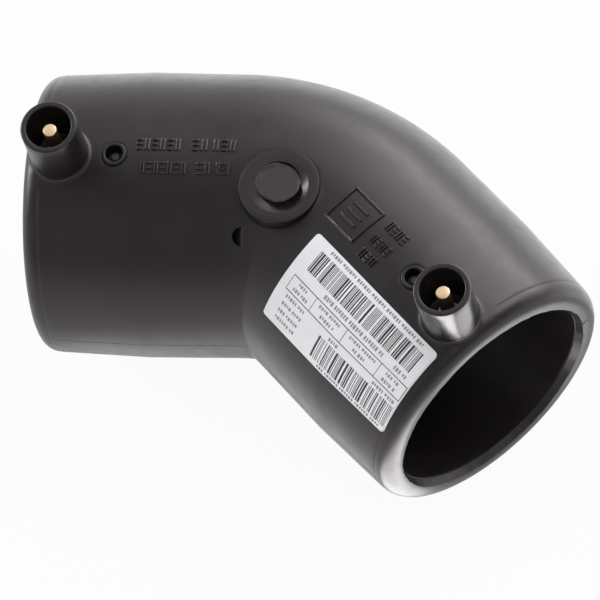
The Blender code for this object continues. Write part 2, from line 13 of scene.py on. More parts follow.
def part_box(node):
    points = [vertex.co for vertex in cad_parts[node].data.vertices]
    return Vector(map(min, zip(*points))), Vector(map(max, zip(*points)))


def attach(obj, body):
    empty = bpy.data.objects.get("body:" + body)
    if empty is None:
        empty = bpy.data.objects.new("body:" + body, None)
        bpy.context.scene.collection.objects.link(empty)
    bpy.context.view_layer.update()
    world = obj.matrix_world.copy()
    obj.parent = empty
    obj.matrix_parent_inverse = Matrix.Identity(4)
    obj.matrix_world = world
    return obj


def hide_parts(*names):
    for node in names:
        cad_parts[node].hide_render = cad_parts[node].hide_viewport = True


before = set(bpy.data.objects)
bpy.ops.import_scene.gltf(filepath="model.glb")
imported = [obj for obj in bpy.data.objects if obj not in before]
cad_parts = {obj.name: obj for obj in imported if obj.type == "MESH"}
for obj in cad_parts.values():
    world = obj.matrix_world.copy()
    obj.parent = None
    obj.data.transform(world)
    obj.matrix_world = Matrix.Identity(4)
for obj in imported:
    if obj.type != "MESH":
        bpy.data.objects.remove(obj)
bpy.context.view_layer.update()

# The pipe, and the way through.
HALF_BEND = radians(22.5)
BEND_RADIUS = 0.051
BORE_RADIUS = 0.03175
WATERWAY = 0.0275
INSERTION = 0.0550
STOP_LAND = 0.0009
CHAMFER_WIDTH = 0.0009
CHAMFER_DEPTH = 0.0022
GROOVE_DEPTH = 0.00014
GROOVE_WIDTH = 0.0004
PLAIN_BORE_START = 0.0030

# A mouth's trimmed inner edge, and its nicks: side, turn in degrees, length and width. Each nick's two ends
# have a depth and a share of its width, and its tip a share of the width.
EDGE_WANDER = 0.00011
EDGE_WANDER_DEPTH = 0.0010
NOTCHES = (
    (1, 90, 0.0026, 0.0007),
    (1, -90, 0.0009, 0.0006),
    (-1, 90, 0.0012, 0.0006),
    (-1, -90, 0.0010, 0.0006),
)
NOTCH_ENDS = ((-0.0005, 1.6), (0.0005, 0.3))
NOTCH_TIP = 0.1

# The outside of the moulding.
CROWN_RADIUS = 0.0400
SWELL_RADIUS = 0.04025
END_RADIUS = 0.03915
SWELL_AT = 0.0300
EDGE_RADIUS = 0.0044
SHOULDER_AT = 0.0048
SHOULDER_STEP = 0.0001
SHOULDER_WIDTH = 0.0002

# Terminals.
TERMINAL_AT = 0.0105
SHROUD_RADIUS = 0.00795
SHROUD_HEIGHT = 0.0176
SHROUD_RIM_RADIUS = 0.0005
SHROUD_LIP_RADIUS = 0.0003
SHROUD_FOOT_RADIUS = 0.0013
SHROUD_BORE_RADIUS = 0.0063
SHROUD_FLOOR_RADIUS = 0.00595
SHROUD_FLOOR_HEIGHT = 0.0012
SHROUD_FLOOR_RINGS = (0.004, 0.002)

# Fusion indicators.
WELL_AT = 0.0260
WELL_RING_RADIUS = 0.0035
WELL_RING_HEIGHT = 0.0005
WELL_MOAT_WIDTH = 0.0002
WELL_MOAT_DEPTH = 0.0002
WELL_RADIUS = 0.0025
WELL_BOTTOM = 0.03605
WELL_FLOOR_RING = 0.0012

# Injection gate: a disc, a dish that is deepest towards one turn in plan, and the stub of the cut sprue.
GATE_OFFSET = 0.0055
GATE_RADIUS = 0.0113
GATE_HEIGHT = 0.0003
DISH_RADIUS = 0.0083
DISH_FLOOR_RADIUS = 0.0056
DISH_DEPTH = 0.0024
DISH_DEEP_TURN = radians(-20)
DISH_SHALLOW_SHARE = 0.02
DISH_NARROWING = 2.5
DISH_STEPS = 12
SPRUE_RADIUS = 0.0061
SPRUE_BELOW_DISC = 0.0003
SPRUE_TILT = radians(7)
SPRUE_OFFSET = 0.0008
LIP_TURN = radians(151)
LIP_NARROWING = 6

# Rings of the stub's torn face: inset from its edge, drop, height of the waves and height of the lip.
STUB_FACE = (
    (0.0, 0.00010, 0.00002, 0.00020),
    (0.00010, 0.00002, 0.00003, 0.00034),
    (0.00040, 0.0, 0.00003, 0.00036),
    (0.00080, 0.0, 0.00002, 0.00010),
    (0.00160, 0.0, 0.0, 0.0),
    (0.00440, 0.0, 0.0, 0.0),
)

# The nick beside the gate.
NICK_FROM_MIDDLE = 0.0074
NICK_TURN = radians(-32)
NICK_WIDTH = 0.0056
NICK_LENGTH = 0.0031
NICK_OVERLAP = 0.0004
NICK_SLOPE = tan(radians(33))
NICK_STEPS = 28

# Contact pins and indicators. A tip's rings have an inset and a drop in tenths of a millimetre.
SEAT_GAP = 0.0003
PIN_RADIUS = 0.0020
PIN_COLLAR_RADIUS = 0.0032
PIN_COLLAR_HEIGHT = 0.0011
PIN_ROOT_RADIUS = 0.0016
PIN_SIDES = 64
PIN_TIP = ((4, 0), (2.5, 0.4), (1, 1.4), (0, 3.5))
INDICATOR_RADIUS = 0.0012
TIP_COLLAR_RADIUS = 0.0020
TIP_COLLAR_HEIGHT = 0.0006
INDICATOR_SIDES = 40
INDICATOR_TIP = ((3, 0), (1.5, 0.3), (0, 1.5))
COLLAR_EDGE = 0.00015

# Raised marks, in millimetres from the centre and to the outside. A row of words has a side, two edges, and
# each word's ends and number of cells. A bar has its ends and its edges.
MARK_HEIGHT = 0.0006
MARK_SINK = 0.00015
MARK_BEVEL = 0.00022
MARK_STROKE = 0.62
MARK_CELL_FILL = 0.76
WORD_ROWS = (
    (-1, (1.3, 4.9), (((16.9, 23.7), 3), ((24.6, 29.6), 2), ((32.2, 45.2), 6))),
    (-1, (-5.7, -2.2), (((17.7, 22.2), 3), ((23.3, 27.8), 2), ((30.2, 43.8), 7))),
    (1, (3.7, 6.9), (((33.6, 41.6), 4),)),
    (1, (-1.9, 1.1), (((33.6, 41.2), 4),)),
    (1, (-6.9, -3.9), (((34.4, 40.4), 3),)),
)
PLATE_BARS = (
    ((19.0, 31.0), (6.0, 6.7)),
    ((19.0, 31.0), (-5.7, -5.0)),
    ((19.0, 19.7), (-5.0, 6.0)),
    ((30.3, 31.0), (-5.0, 6.0)),
    ((22.0, 28.0), (2.6, 3.4)),
    ((22.0, 28.0), (0.1, 0.9)),
    ((22.0, 28.0), (-2.4, -1.6)),
)

# The line where the mould's halves meet, on both sides of the body.
PARTING_START = 0.0060
PARTING_WIDTH = 0.0005
PARTING_HEIGHT = 0.000035
PARTING_STEPS = 40

# Data label.
LABEL_AT = 0.0044
LABEL_TO_BEND = 0.0007
LABEL_TO_SHROUD = 0.0020
LABEL_WIDTH = 0.0302
LABEL_CORNER = 0.0012
LABEL_LIFT = 0.0001
LABEL_THICKNESS = 0.0003

# Print: lengths in millimetres from the centre, turns in degrees. A strip has its ends, turns and a seed.
INKS = {"black": 1, "grey": 2}
BAR_STRIPS = (
    ((26.6, 69.6), (-28.0, -18.4), 4),
    ((41.5, 72.0), (-54.0, -43.5), 5),
)
BAR_MODULE = 0.23
BAR_WIDTHS = (1, 1, 2, 1, 3, 1, 1)
BAR_GAPS = (1, 2, 1, 3, 1)

# The table's first and last length, lowest and highest turn, dividers, and an upright line's width, which is
# half a level line's.
TABLE = (24.7, 72.1, -39.7, -32.9)
TABLE_DIVIDERS = (34.5, 47.7, 61.7)
TABLE_LINE = 0.2

# Cells in place of small print. A row has a turn, a height in degrees, and each group's ends and seed.
CELL_WIDTH = 0.50
CELL_GAP = 0.30
CELL_LEAST = 0.4
CELL_GROWTH = 0.3
CELL_LOW_SHARE = 0.6
CELLS_A_WORD = 6
CELL_ROWS = (
    (-16.2, 1.4, ((29.0, 67.6, 1),)),
    (-30.4, 1.9, ((36.0, 60.7, 2),)),
    (-30.4, 1.7, ((65.2, 69.9, 3),)),
    (-34.7, 1.3, ((27.6, 31.4, 0), (36.4, 45.6, 2), (49.4, 60.0, 1), (64.4, 69.4, 3))),
    (-37.7, 1.5, ((26.8, 32.6, 3), (38.4, 44.0, 1), (52.2, 57.4, 4), (64.2, 70.0, 2))),
    (-41.8, 1.5, ((44.4, 48.6, 2), (62.5, 71.7, 1))),
    (-42.0, 1.5, ((26.0, 34.3, 1),)),
    (-45.6, 1.5, ((26.0, 34.3, 2),)),
    (-49.2, 1.5, ((26.0, 34.3, 3),)),
    (-52.8, 1.5, ((26.0, 34.3, 0),)),
    (-55.3, 1.3, ((45.0, 71.0, 3),)),
)

# The winding, and the low ripples of the skin over it.
WINDING_PITCH = 0.0034
WINDING_TURNS = 7.5
WINDING_RADIUS = 0.03295
WINDING_STEPS = 360
WIRE_RADIUS = 0.0009
WIRE_LEAD = 0.0031
WIRE_LINK_STEPS = 14
RIPPLE_START = 0.0091
RIPPLE_END = 0.0384
RIPPLE_HEIGHT = 0.000012
RIPPLE_FADE = 8

# Camera: its turn is azimuth, elevation and roll in degrees.
CAMERA_LENS = 408.777
CAMERA_SENSOR = 36
CAMERA_TARGET = (0.007367, -0.010331, 0.04025)
CAMERA_DISTANCE = 1.90803
CAMERA_TURN = (-43.974, 64.03, -20.39)

# Studio. The backdrop is grey by height. A soft box has azimuth, elevation, sharpness and strength, a card on
# the floor its name, place, length, width and power.
FLOOR_RADIUS = 6.0
FLOOR_SIDES = 96
FLOOR_GREY = 0.8
FLOOR_GLOW = 0.95
BACKDROP = ((0.0, 0.95), (0.07, 0.95), (0.16, 0.82), (0.25, 0.60), (0.36, 0.34), (0.50, 0.10), (0.66, 0.0))
BACKDROP_LIGHT = 0.95
SOFT_BOXES = (
    (90, 4, 25, 7.0),
    (60, 4, 25, 2.0),
    (120, 20, 25, 0.4),
    (80, 42, 16, 5.4),
    (160, 42, 16, 1.4),
    (240, 42, 16, 0.8),
    (280, 42, 16, 0.3),
    (320, 42, 16, 0.3),
    (0, 65, 14, 1.2),
    (180, 65, 14, 0.25),
    (182, 17, 50, 17.0),
)
FLOOR_CARDS = (
    ("front_card", (0.084, -0.080, 0.001), 0.09, 0.08, 0.092),
    ("mouth_card", (0.115, -0.010, 0.001), 0.06, 0.06, 0.014),
    ("side_card", (-0.010, -0.062, 0.001), 0.09, 0.045, 0.0055),
    ("back_card", (0.0, 0.13, 0.001), 0.50, 0.20, 0.22),
)

# Finishes: the darkest and the lightest colour, and the least and the most roughness. A grain has scales, and
# the height and strength of its relief.
BLACK = ((0.0095, 0.0074, 0.0080), (0.0135, 0.0108, 0.0116))
BLACK_ROUGHNESS = (0.31, 0.40)
POLISHED_ROUGHNESS = (0.22, 0.29)
POLISHED_SPECULAR = 0.85
INDICATOR_GREY = ((0.03, 0.03, 0.031), (0.06, 0.06, 0.062))
INDICATOR_ROUGHNESS = (0.40, 0.52)
BRASS = ((0.88, 0.66, 0.42), (0.95, 0.74, 0.50))
BRASS_ROUGHNESS = (0.36, 0.48)
SHEATH = ("wire_sheath", ((0.015, 0.014, 0.014), (0.03, 0.028, 0.028)), (0.34, 0.46))
SHEATH_GRAIN = ((400, 900, 1800), (0.00001, 0.5))
LABEL_FINISHES = (
    ("label_film", ((0.90, 0.90, 0.93), (0.94, 0.94, 0.97)), (0.38, 0.5)),
    ("label_black", ((0.02, 0.02, 0.025), (0.035, 0.035, 0.04)), (0.4, 0.5)),
    ("label_grey", ((0.27, 0.27, 0.30), (0.34, 0.34, 0.37)), (0.4, 0.5)),
)
FILM_GRAIN = ((300, 700, 160, 2), (0.00004, 0.4))
NOISE_SPAN = (0.3, 0.7)

# Fineness. MICRO is a tenth of a millimetre, TINY and LEAST_STEP are in millimetres or degrees.
COLUMNS = 192
EDGE_ANGLES = (90, 80, 69, 58, 48, 38, 28, 19, 9.5, 0)
TERMINAL_HOLE_ANGLE = radians(58)
SETTLE_STEPS = {"terminal": 4, "well": 4, "gate": 5}
RIPPLE_RINGS = 59
LABEL_LENGTH_STEP = 1.5
LABEL_TURN_STEP = 1.0
LABEL_CORNER_SHARES = (0.08, 0.3, 0.6, 1.0)
LEAST_STEP = 1e-4
TINY = 1e-6
MICRO = 0.0001
BODY_SHARP = radians(38)
TURNED_SHARP = radians(28)
MARK_SHARP = radians(20)
LABEL_SHARP = radians(50)

SOCKET_END = INSERTION + STOP_LAND
TANGENT = BEND_RADIUS * tan(HALF_BEND)
MIDDLE_AT = SOCKET_END + BEND_RADIUS * HALF_BEND
LABEL_END = SOCKET_END - LABEL_TO_BEND
CENTRE_AT = SOCKET_END + TANGENT

# Where the two centre lines cross, from the right pin's place and the body's underside.
pin_low, pin_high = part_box("terminal_pin_right")
pin_x = (pin_low.x + pin_high.x) / 2
pin_y = (pin_low.y + pin_high.y) / 2
CROSSING = Vector((0, pin_y + pin_x * tan(HALF_BEND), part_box("elbow_body")[0].z + SWELL_RADIUS))

# Stretches of the skin: each one's end, as distance from a mouth, and its number of rings.
TERMINAL_HOLE_END = 0.0207
WELL_HOLE_START = 0.0214
WELL_HOLE_END = 0.0306
SKIN_STRETCHES = (
    (SHOULDER_AT - SHOULDER_WIDTH / 2, 2),
    (SHOULDER_AT + SHOULDER_WIDTH / 2, 2),
    (TERMINAL_HOLE_END, 15),
    (WELL_HOLE_START, 1),
    (SWELL_AT, 8),
    (WELL_HOLE_END, 1),
    (SOCKET_END, 23),
    (MIDDLE_AT, 18),
)

# Holes in the skin for details: first and last distance from a mouth, first and last column.
HOLES = (
    ("terminal", EDGE_RADIUS * (1 - sin(TERMINAL_HOLE_ANGLE)), TERMINAL_HOLE_END, -9, 9),
    ("well", WELL_HOLE_START, WELL_HOLE_END, -4, 4),
    ("gate", SOCKET_END, MIDDLE_AT, -15, 6),
)

ALONG = Vector((cos(HALF_BEND), -sin(HALF_BEND), 0))
OUTWARD = Vector((sin(HALF_BEND), cos(HALF_BEND), 0))
BEND_CENTRE = Vector((0, -BEND_RADIUS / cos(HALF_BEND), 0))
GATE_CENTRE = BEND_CENTRE + Vector((0, BEND_RADIUS - GATE_OFFSET, 0))


def mix(a, b, share):
    return a + (b - a) * share


def steps(first, last, count):
    """Count + 1 values from first to last."""
    return [mix(first, last, step / count) for step in range(count + 1)]


def middles(values):
    return [(value + later) / 2 for value, later in zip(values, values[1:])]


def direction(azimuth, elevation):
    """Unit vector towards an azimuth and elevation in radians."""
    flat = cos(elevation)
    return Vector((flat * cos(azimuth), flat * sin(azimuth), sin(elevation)))


def skin_radius(depth):
    if depth < EDGE_RADIUS:
        rise = sqrt(max(EDGE_RADIUS ** 2 - (EDGE_RADIUS - depth) ** 2, 0.0))
        return END_RADIUS - EDGE_RADIUS + rise - SHOULDER_STEP * depth / EDGE_RADIUS
    if depth < SWELL_AT:
        radius = mix(END_RADIUS, SWELL_RADIUS, (depth - EDGE_RADIUS) / (SWELL_AT - EDGE_RADIUS))
        short = (SHOULDER_AT + SHOULDER_WIDTH / 2 - depth) / SHOULDER_WIDTH
        return radius - SHOULDER_STEP * min(max(short, 0.0), 1.0)
    if depth < SOCKET_END:
        share = (depth - SWELL_AT) / (SOCKET_END - SWELL_AT)
        return mix(SWELL_RADIUS, CROWN_RADIUS, share)
    return CROWN_RADIUS


def inner_width(turn):
    """Half width of the skin on the inside of the bend, where the sockets meet in a crease."""
    return BEND_RADIUS - (BEND_RADIUS - CROWN_RADIUS) / cos(HALF_BEND - abs(turn))


def section(depth):
    """Centre and outward direction of a section of the right half, and the bend's turn there."""
    if depth <= SOCKET_END:
        return ALONG * (CENTRE_AT - depth), OUTWARD, HALF_BEND
    turn = HALF_BEND - (depth - SOCKET_END) / BEND_RADIUS
    outward = Vector((sin(turn), cos(turn), 0))
    return BEND_CENTRE + outward * BEND_RADIUS, outward, turn


def both_halves(places):
    """Places from the left end to the middle, and back out to the right end, with their side."""
    return [(-1, *place) for place in places] + [(1, *place) for place in places[-2::-1]]


def mirrored(point, side):
    return Vector((point.x * side, point.y, point.z))


def skin_point(side, depth, turn, lift=0.0):
    """A point on the skin, seen from where the centre lines cross."""
    centre, outward, bend_turn = section(depth)
    radius = skin_radius(depth)
    width = radius
    if depth > SOCKET_END and sin(turn) < 0:
        width = inner_width(bend_turn)
    place = centre + outward * sin(turn) * (width + lift)
    place.z += cos(turn) * (radius + lift)
    return mirrored(place, side)


def bore_point(side, depth, turn, radius):
    centre, outward, _ = section(depth)
    place = centre + outward * sin(turn) * radius
    place.z += cos(turn) * radius
    return mirrored(place, side)


def skin_height(x, y):
    """Height of the upper skin over a place in plan."""
    place = Vector((abs(x), y, 0))
    reach = place.dot(ALONG)
    if reach >= TANGENT:
        radius = skin_radius(CENTRE_AT - reach)
        aside = place.dot(OUTWARD)
        width = radius
    else:
        arm = place - BEND_CENTRE
        turn = atan2(arm.x, arm.y)
        radius = CROWN_RADIUS
        aside = arm.length - BEND_RADIUS
        width = inner_width(turn) if aside < 0 else radius
    return radius * sqrt(max(1 - (aside / width) ** 2, 0.0))


def plan_point(side, depth):
    """A place in plan on a socket's centre line."""
    return mirrored(ALONG * (CENTRE_AT - depth), side)


def on_skin(lift):
    return lambda x, y: skin_height(x, y) + lift


def level(height):
    return lambda x, y: height


def between(first, last, share):
    return lambda x, y: mix(first(x, y), last(x, y), share)


def arc_rings(centre_radius, centre_height, radius, first, last, count, base=level):
    """Radius and height of the rings of a rounded edge, with angles in degrees from outward."""
    rings = []
    for angle in steps(radians(first), radians(last), count):
        height = centre_height + radius * sin(angle)
        rings.append((centre_radius + radius * cos(angle), base(height)))
    return rings


def add_item(name, data):
    item = bpy.data.objects.new(name, data)
    bpy.context.scene.collection.objects.link(item)
    return item


def add_form(name, form):
    """An object from a form, which is used up."""
    mesh = bpy.data.meshes.new(name)
    form.to_mesh(mesh)
    form.free()
    return add_item(name, mesh)


class Shape:
    """A mesh in the making, ring by ring."""

    def __init__(self):
        self.form = bmesh.new()

    def ring(self, points):
        return [self.form.verts.new(point) for point in points]

    def bridge(self, first, second):
        count = len(first)
        for step in range(count):
            after = (step + 1) % count
            self.form.faces.new((first[step], second[step], second[after], first[after]))

    def follow(self, last, points):
        """A new ring, bridged to the last one."""
        now = self.ring(points)
        self.bridge(last, now)
        return now

    def fan(self, ring, tip):
        for step in range(len(ring)):
            self.form.faces.new((ring[step], tip, ring[(step + 1) % len(ring)]))

    def patch(self, edge, centre, rings, settle):
        """From a hole's edge: settles into a circle, then follows the rings and closes."""
        angles = [atan2(vertex.co.y - centre.y, vertex.co.x - centre.x) for vertex in edge]
        first_radius = rings[0][0]
        last = edge
        for share in steps(0, 1, settle)[1:-1]:
            points = []
            for vertex, angle in zip(edge, angles):
                x = mix(vertex.co.x, centre.x + first_radius * cos(angle), share)
                y = mix(vertex.co.y, centre.y + first_radius * sin(angle), share)
                points.append((x, y, skin_height(x, y)))
            last = self.follow(last, points)
        for radius, height in rings:
            points = []
            for angle in angles:
                reach = radius(angle) if callable(radius) else radius
                x = centre.x + reach * cos(angle)
                y = centre.y + reach * sin(angle)
                points.append((x, y, height(x, y)))
            last = self.follow(last, points)
        middle = sum((vertex.co for vertex in last), Vector()) / len(last)
        self.fan(last, self.form.verts.new(middle))

    def finish(self, name, sharp):
        self.form.normal_update()
        bmesh.ops.recalc_face_normals(self.form, faces=self.form.faces)
        item = add_form(name, self.form)
        item.data.shade_smooth()
        item.data.set_sharp_from_angle(angle=sharp)
        item.location = CROSSING
        return item


def outer_stations():
    """Depths of the outer skin's rings, up to the middle of the bend."""
    stations = [EDGE_RADIUS * (1 - sin(radians(angle))) for angle in EDGE_ANGLES]
    for end, count in SKIN_STRETCHES:
        stations += steps(stations[-1], end, count)[1:]
    return stations


def nearest(stations, depth):
    return min(range(len(stations)), key=lambda index: abs(stations[index] - depth))


def hole_ranges(stations):
    """Each hole as its detail and side, its first and last ring, and its first and last column."""
    last = 2 * (len(stations) - 1)
    ranges = []
    for detail, first, end, low, high in HOLES:
        start = nearest(stations, first)
        stop = nearest(stations, end)
        if detail == "gate":
            ranges.append((detail, 0, start, last - start, low, high))
        else:
            ranges.append((detail, -1, start, stop, low, high))
            ranges.append((detail, 1, last - stop, last - start, low, high))
    return ranges


def skin_rings(shape):
    """Rings from the left mouth over the bend to the right one, and the edges of the details' holes."""
    stations = outer_stations()
    places = both_halves([(depth,) for depth in stations])
    holes = hole_ranges(stations)
    rings = []
    for index, (side, depth) in enumerate(places):
        ring = []
        for column in range(COLUMNS):
            signed = column if column <= COLUMNS / 2 else column - COLUMNS
            inside = any(a < index < b and low < signed < high for _, _, a, b, low, high in holes)
            point = skin_point(side, depth, tau * column / COLUMNS)
            ring.append(None if inside else shape.form.verts.new(point))
        rings.append(ring)
    for ring, later in zip(rings, rings[1:]):
        for column in range(COLUMNS):
            after = (column + 1) % COLUMNS
            corners = (ring[column], later[column], later[after], ring[after])
            if None not in corners:
                shape.form.faces.new(corners)
    edges = []
    for detail, side, a, b, low, high in holes:
        grid = [[ring[column] for column in range(low, high + 1)] for ring in rings[a:b + 1]]
        edges.append((detail, side, grid_rim(grid)))
    return rings, edges


def shroud_rings():
    crown = skin_radius(TERMINAL_AT)
    rim = crown + SHROUD_HEIGHT
    round_off = SHROUD_FOOT_RADIUS
    rings = arc_rings(SHROUD_RADIUS + round_off, round_off, round_off, 270, 180, 6, on_skin)
    foot = rings[-1][1]
    shoulder = level(rim - SHROUD_RIM_RADIUS)
    rings += [(SHROUD_RADIUS, between(foot, shoulder, share)) for share in steps(0, 1, 5)[1:-1]]
    round_off = SHROUD_RIM_RADIUS
    rings += arc_rings(SHROUD_RADIUS - round_off, rim - round_off, round_off, 0, 90, 4)
    lip = SHROUD_LIP_RADIUS
    rings += arc_rings(SHROUD_BORE_RADIUS + lip, rim - lip, lip, 90, 180, 3)
    floor = crown + SHROUD_FLOOR_HEIGHT
    for share in steps(0, 1, 4)[1:-1]:
        radius = mix(SHROUD_BORE_RADIUS, SHROUD_FLOOR_RADIUS, share)
        rings.append((radius, level(mix(rim - lip, floor + lip, share))))
    rings += arc_rings(SHROUD_FLOOR_RADIUS - lip, floor + lip, lip, 0, -90, 3)
    rings += [(radius, level(floor)) for radius in SHROUD_FLOOR_RINGS]
    return rings


def well_rings():
    top = skin_radius(WELL_AT) + WELL_RING_HEIGHT
    soft = 1.5 * MICRO
    moat = WELL_RING_RADIUS + WELL_MOAT_WIDTH
    rings = [(moat + 2 * soft, on_skin(0)), (moat + soft, on_skin(-0.3 * WELL_MOAT_DEPTH))]
    rings += [(moat, on_skin(-WELL_MOAT_DEPTH)), (WELL_RING_RADIUS, on_skin(-WELL_MOAT_DEPTH))]
    rings += arc_rings(WELL_RING_RADIUS - 2 * soft, top - 2 * soft, 2 * soft, 0, 90, 5)
    rings += arc_rings(WELL_RADIUS + 2 * soft, top - 2 * soft, 2 * soft, 90, 180, 5)
    rings += [(WELL_RADIUS, level(mix(top, WELL_BOTTOM, share))) for share in (0.35, 0.7)]
    rings += arc_rings(WELL_RADIUS - soft, WELL_BOTTOM + soft, soft, 0, -90, 2)
    rings.append((WELL_FLOOR_RING, level(WELL_BOTTOM)))
    return rings


def dish_height(x, y):
    """The bowl round the stub: its wall slopes from the disc, deep on one side and shallow on the other."""
    aside = Vector((x - GATE_CENTRE.x, y - GATE_CENTRE.y))
    share = min(max((DISH_RADIUS - aside.length) / (DISH_RADIUS - DISH_FLOOR_RADIUS), 0.0), 1.0)
    facing = 0.5 + 0.5 * cos(atan2(aside.y, aside.x) - DISH_DEEP_TURN)
    depth = DISH_DEPTH * mix(DISH_SHALLOW_SHARE, 1.0, facing ** DISH_NARROWING)
    return CROWN_RADIUS + GATE_HEIGHT - depth * share


def stub_outline(inset):
    """The stub's edge as distance from the gate's centre: it stands aside and is cut unevenly."""

    def reach(angle):
        along = SPRUE_OFFSET * (sin(angle) - cos(angle))
        across = SPRUE_OFFSET * (sin(angle) + cos(angle))
        uneven = 1 + 0.010 * sin(5 * angle + 1) + 0.006 * sin(13 * angle)
        return along + sqrt(SPRUE_RADIUS ** 2 - across ** 2) * uneven - inset

    return reach


def stub_wave(x, y):
    """The torn face's waves, a few millimetres long and about 1 high."""
    broad = sin(1900 * x + 700 * y) * sin(1300 * y - 400 * x)
    fine = 0.4 * sin(3100 * x - 1900 * y)
    return broad + fine


def stub_height(drop, rough, lip=0.0):
    """The torn top of the stub: a leaning plane with low waves, and a lip on one side."""
    top = CROWN_RADIUS + GATE_HEIGHT - SPRUE_BELOW_DISC - drop
    lean = tan(SPRUE_TILT) / sqrt(2)

    def height(x, y):
        across = x - GATE_CENTRE.x + SPRUE_OFFSET
        along = y - GATE_CENTRE.y - SPRUE_OFFSET
        turned_away = atan2(along, across) - LIP_TURN
        near = max(cos(turned_away), 0.0) ** LIP_NARROWING
        return top - lean * (across + along) + rough * stub_wave(x, y) + lip * near

    return height


def gate_rings():
    top = CROWN_RADIUS + GATE_HEIGHT
    edge = 1.3 * MICRO
    rings = [(GATE_RADIUS + 2 * edge, on_skin(0)), (GATE_RADIUS + edge, on_skin(-0.5 * MICRO))]
    rings.append((GATE_RADIUS, on_skin(-edge)))
    foot = rings[-1][1]
    rings += [(GATE_RADIUS, between(foot, level(top - edge), share)) for share in (0.33, 0.66)]
    rings += arc_rings(GATE_RADIUS - edge, top - edge, edge, 0, 90, 3)
    rings += [(mix(GATE_RADIUS, DISH_RADIUS, 0.5), level(top)), (DISH_RADIUS + 2 * MICRO, level(top))]
    foot = stub_outline(-2 * MICRO)
    for share in steps(0, 1, DISH_STEPS):
        rings.append((lambda angle, share=share: mix(DISH_RADIUS, foot(angle), share), dish_height))
    for inset, share in ((-1.2 * MICRO, 0.3), (-0.6 * MICRO, 0.7)):
        rings.append((stub_outline(inset), between(dish_height, stub_height(MICRO, 0), share)))
    for inset, drop, rough, lip in STUB_FACE:
        rings.append((stub_outline(inset), stub_height(drop, rough, lip)))
    return rings


def bore_stations():
    """Depth and radius of the way through, from a mouth's face to the middle of the bend."""
    mouth = BORE_RADIUS + CHAMFER_WIDTH
    groove = BORE_RADIUS + GROOVE_DEPTH
    groove_end = CHAMFER_DEPTH + GROOVE_WIDTH
    stop = INSERTION
    depths = steps(PLAIN_BORE_START, RIPPLE_START, 6)[:-1] + steps(RIPPLE_START, RIPPLE_END, RIPPLE_RINGS)
    depths += steps(RIPPLE_END, stop - 2 * MICRO, 12)[1:]
    return [
        (0.0, mouth + 1.5 * MICRO),
        (0.5 * MICRO, mouth + 0.5 * MICRO),
        (2 * MICRO, mouth),
        (CHAMFER_DEPTH, BORE_RADIUS),
        (CHAMFER_DEPTH + 0.3 * MICRO, groove),
        (groove_end - MICRO, groove),
        (groove_end, BORE_RADIUS),
        *((depth, BORE_RADIUS) for depth in depths),
        (stop, BORE_RADIUS - 2 * MICRO),
        (stop, WATERWAY + 3 * MICRO),
        (stop + MICRO, WATERWAY + MICRO),
        (stop + 3 * MICRO, WATERWAY),
        *((depth, WATERWAY) for depth in steps(SOCKET_END, MIDDLE_AT, 16)),
    ]


def ripple(depth, turn):
    """How far the skin over the winding stands into the bore."""
    share = (depth - RIPPLE_START) / (RIPPLE_END - RIPPLE_START)
    if not 0 < share < 1:
        return 0.0
    fade = min(1.0, RIPPLE_FADE * share, RIPPLE_FADE * (1 - share))
    fade = fade * fade * (3 - 2 * fade)
    return RIPPLE_HEIGHT * fade * (0.5 - 0.5 * cos(tau * depth / WINDING_PITCH - turn))


def uneven_edge(depth, turn):
    """How far the trimmed inner edge of a mouth's face wanders, in 9, 31 and 53 waves a turn."""
    broad = sin(9 * turn + 2)
    groups = 0.8 * sin(31 * turn) * sin(3 * turn)
    fine = 0.5 * sin(53 * turn + 1)
    return EDGE_WANDER * (broad + groups + fine) * max(1 - depth / EDGE_WANDER_DEPTH, 0.0)


def bore_rings(shape, left_mouth, right_mouth):
    """The way through, bridged to the skin's first and last rings."""
    last = left_mouth
    for side, depth, radius in both_halves(bore_stations()):
        points = []
        for column in range(COLUMNS):
            turn = tau * column / COLUMNS
            true_radius = radius - ripple(depth, side * turn) + uneven_edge(depth, turn)
            points.append(bore_point(side, depth, turn, true_radius))
        last = shape.follow(last, points)
    shape.bridge(last, right_mouth)


def add_block(name, low_points, high_points):
    """A closed block between two rings of points, to cut with."""
    form = bmesh.new()
    low = [form.verts.new(point) for point in low_points]
    high = [form.verts.new(point) for point in high_points]
    form.faces.new(low)
    form.faces.new(high)
    for step in range(len(low)):
        after = (step + 1) % len(low)
        form.faces.new((low[step], low[after], high[after], high[step]))
    bmesh.ops.recalc_face_normals(form, faces=form.faces)
    return add_form(name, form)


def nick_tool():
    """A half round punch with a leaning end, deepest at its curved wall."""
    place = skin_point(-1, MIDDLE_AT - NICK_FROM_MIDDLE, NICK_TURN)
    normal = (place - mirrored(section(MIDDLE_AT - NICK_FROM_MIDDLE)[0], -1)).normalized()
    along = mirrored(ALONG, -1)
    along = (along - normal * along.dot(normal)).normalized()
    axes = Matrix((along, normal.cross(along), normal)).transposed().to_4x4()
    half = NICK_WIDTH / 2
    outline = [(-NICK_OVERLAP, half), (-NICK_OVERLAP, -half)]
    for angle in steps(-pi / 2, pi / 2, NICK_STEPS):
        outline.append((NICK_LENGTH * cos(angle), half * sin(angle)))
    low = [(x, y, -NICK_SLOPE * x) for x, y in outline]
    high = [(x, y, NICK_LENGTH) for x, y in outline]
    tool = add_block("nick_tool", low, high)
    tool.matrix_world = Matrix.Translation(CROSSING + place) @ axes
    return tool


